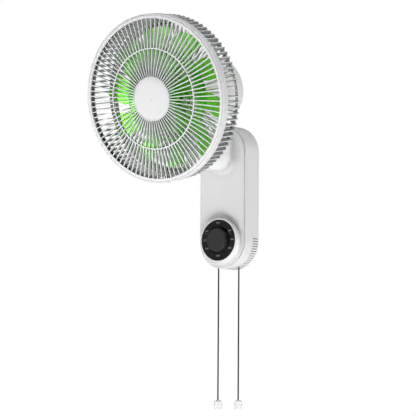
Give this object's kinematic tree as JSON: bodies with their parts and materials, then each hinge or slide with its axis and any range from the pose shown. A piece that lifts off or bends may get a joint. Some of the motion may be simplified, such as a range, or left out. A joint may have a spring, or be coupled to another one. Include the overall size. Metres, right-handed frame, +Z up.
{
  "type": "wall mounted fan",
  "caption": "Wall mounted fan with a slim upright control body, rotary dial, two pull cords, a tilting and swinging neck, and a round guarded head with a twin-ring impeller.",
  "frame": {"origin": "on the wall plane, at the centre of the four wall screws, midway between the two end arcs of the body", "axes": "+Z up, +Y into the wall, the front of the body faces -Y, +X to the right seen from the front"},
  "size_m": [0.3114, 0.2889, 0.7241],
  "materials": {
    "white_shell": "satin moulded ABS, off-white",
    "guard_white": "semi-gloss moulded plastic, white",
    "white_pull": "gloss moulded plastic, white",
    "green_blades": "glossy tinted plastic, lime green",
    "black_dial": "fine matte black, printed light-grey marks",
    "black_knob": "satin black",
    "dark_plastic": "matte black moulding",
    "nylon": "natural nylon",
    "rubber": "matte black rubber",
    "cord": "braided dark grey cord",
    "zinc_plate": "zinc-plated pressed steel",
    "steel": "bright plated steel",
    "brass": "plain brass",
    "cast_alloy": "die-cast, dull",
    "lamination": "stacked laminations, dark",
    "winding": "enamelled copper wire",
    "circuit_board": "green solder mask"
  },
  "bodies": {
    "wall_unit": {"wall_plate": "zinc_plate", "rear_housing": "white_shell", "front_panel": "white_shell", "case_screws": "steel", "plate_screws": "steel", "lead_bush": "rubber", "neck_bracket": "zinc_plate", "bracket_screws": "steel", "tilt_pin": "steel", "tilt_nut": "steel", "tilt_washers": "nylon", "dial_plate": "black_dial", "rotary_switch": "dark_plastic", "switch_nut": "brass", "control_board": "circuit_board", "terminal_block": "nylon", "run_capacitor": "dark_plastic", "pull_switch_left": "dark_plastic", "pull_switch_right": "dark_plastic", "cord_guides": "white_shell", "spring_left": "steel", "spring_right": "steel"},
    "knob": {"control_knob": "black_knob", "switch_shaft": "steel"},
    "pull_left": {"cord_pull_left": "white_pull", "pull_cord_left": "cord", "plunger_left": "nylon"},
    "pull_right": {"cord_pull_right": "white_pull", "pull_cord_right": "cord", "plunger_right": "nylon"},
    "arm": {"arm_body": "white_shell", "arm_cover": "white_shell", "arm_screws": "steel", "swing_bushing": "nylon", "swing_motor": "zinc_plate"},
    "pinion": {"swing_pinion": "nylon"},
    "head": {"pivot_tube": "steel", "pivot_clip": "steel", "swing_gear": "nylon", "swing_carrier": "zinc_plate", "carrier_screws": "steel", "thrust_washer": "nylon", "motor_bracket_front": "cast_alloy", "motor_bracket_rear": "cast_alloy", "stator_core": "lamination", "stator_windings": "winding", "bearings": "steel", "tie_bolts": "steel", "motor_cover": "white_shell", "cover_screws": "steel", "rear_grille": "guard_white", "grille_nut": "guard_white", "front_grille": "guard_white", "grille_cap": "guard_white", "guard_screw": "steel"},
    "spinner": {"impeller": "green_blades", "blade_nut": "dark_plastic", "motor_shaft": "steel", "drive_pin": "steel", "rotor_core": "lamination"}
  },
  "joints": [
    {"name": "head_tilt", "type": "hinge", "parent": "wall_unit", "child": "arm", "pos_m": [0, -0.12206, 0.08366], "axis": [1, 0, 0], "range_deg": [-5, 20]},
    {"name": "head_swing", "type": "hinge", "parent": "arm", "child": "head", "pos_m": [0, -0.14065, 0.18496], "axis": [0, -0.1805, 0.9836], "range_deg": [-40, 40]},
    {"name": "pinion_spin", "type": "hinge", "parent": "arm", "child": "pinion", "pos_m": [0, -0.16426, 0.18063], "axis": [0, -0.1805, 0.9836], "range_deg": [-81, 81]},
    {"name": "fan_spin", "type": "hinge", "parent": "head", "child": "spinner", "pos_m": [0, -0.26065, 0.16294], "axis": [0, 0.9836, 0.1805], "continuous": true},
    {"name": "knob_turn", "type": "hinge", "parent": "wall_unit", "child": "knob", "pos_m": [0, -0.057, -0.083], "axis": [0, 1, 0], "range_deg": [-90, 210]},
    {"name": "speed_pull", "type": "slide", "parent": "wall_unit", "child": "pull_left", "axis": [0, 0, -1], "range_m": [0, 0.012], "stiffness_N_per_m": 300, "springref_m": -0.004, "deforming": ["spring_left"]},
    {"name": "swing_pull", "type": "slide", "parent": "wall_unit", "child": "pull_right", "axis": [0, 0, -1], "range_m": [0, 0.012], "stiffness_N_per_m": 300, "springref_m": -0.004, "deforming": ["spring_right"]}
  ],
  "couplings": [
    {"joint": "pinion_spin", "follows": "head_swing", "ratio": -2}
  ]
}
